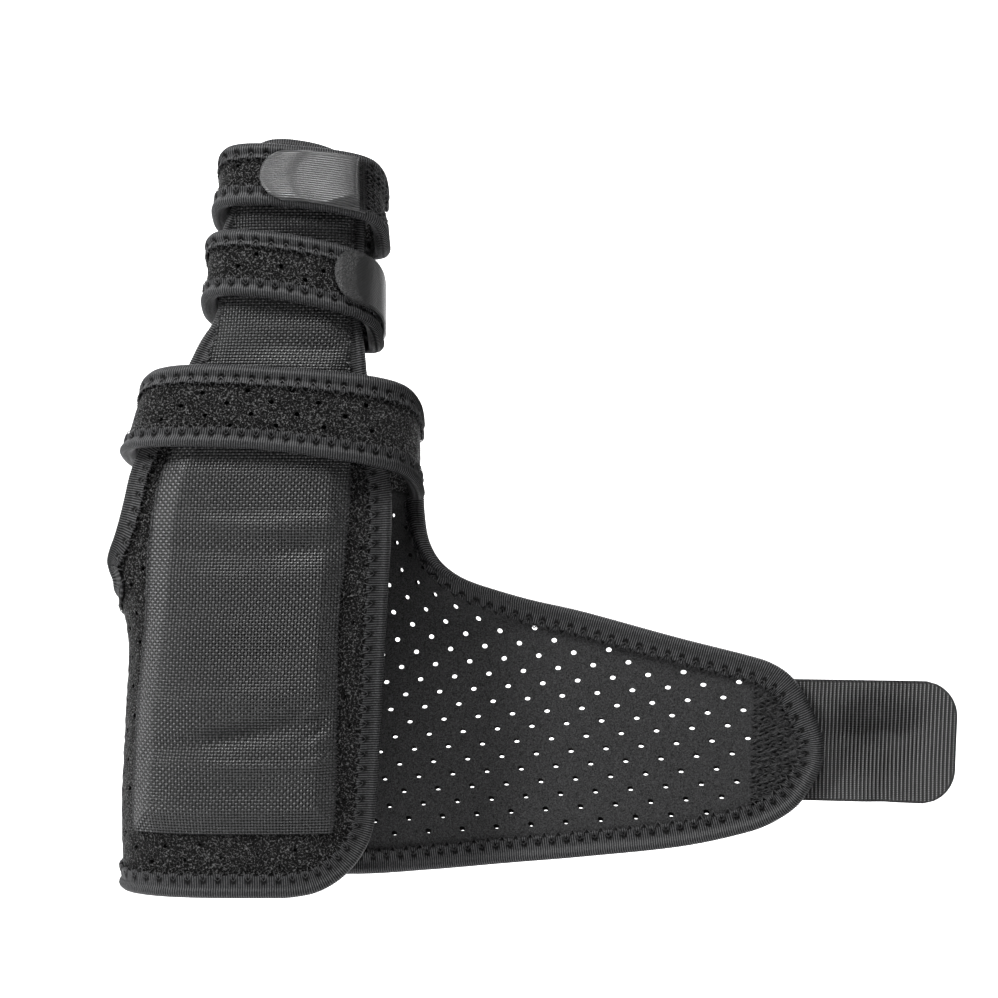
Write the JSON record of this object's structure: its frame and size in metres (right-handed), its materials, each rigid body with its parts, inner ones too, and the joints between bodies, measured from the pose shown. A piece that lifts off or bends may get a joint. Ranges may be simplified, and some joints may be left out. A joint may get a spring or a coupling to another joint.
{
  "type": "palm brace",
  "caption": "Soft wrap brace for the wrist, palm and two fingers, with bound edges, cloth pockets, a knuckle band, finger straps and an open closing wing with a hook tab.",
  "frame": {"origin": "middle of the wrist opening, at the brace's lower edge, where the hand goes in", "axes": "+Z along the hand towards the fingertips, +X towards the open closing wing, -Y out of the palm side"},
  "size_m": [0.2881, 0.0596, 0.2541],
  "materials": {
    "fleece": "crinkled loop fleece, punched",
    "lining": "smooth matt lining on punched foam laminate",
    "tape": "ribbed folded binding tape",
    "pocket_cloth": "coarse plain-weave nylon",
    "hook_tape": "satin hook tape with fine ribs"
  },
  "bodies": {
    "root": {"palm_panel": "fleece", "knuckle_band": "fleece", "upper_finger_strap": "fleece", "lower_finger_strap": "fleece", "palm_panel_binding": "tape", "wing_binding": "tape", "knuckle_band_upper_binding": "tape", "knuckle_band_lower_binding": "tape", "upper_finger_strap_upper_binding": "tape", "upper_finger_strap_lower_binding": "tape", "lower_finger_strap_upper_binding": "tape", "lower_finger_strap_lower_binding": "tape", "back_panel": "lining", "palm_pocket": "pocket_cloth", "finger_pocket": "pocket_cloth", "upper_finger_tab": "hook_tape", "lower_finger_tab": "hook_tape", "closing_tab": "hook_tape"}
  },
  "joints": []
}
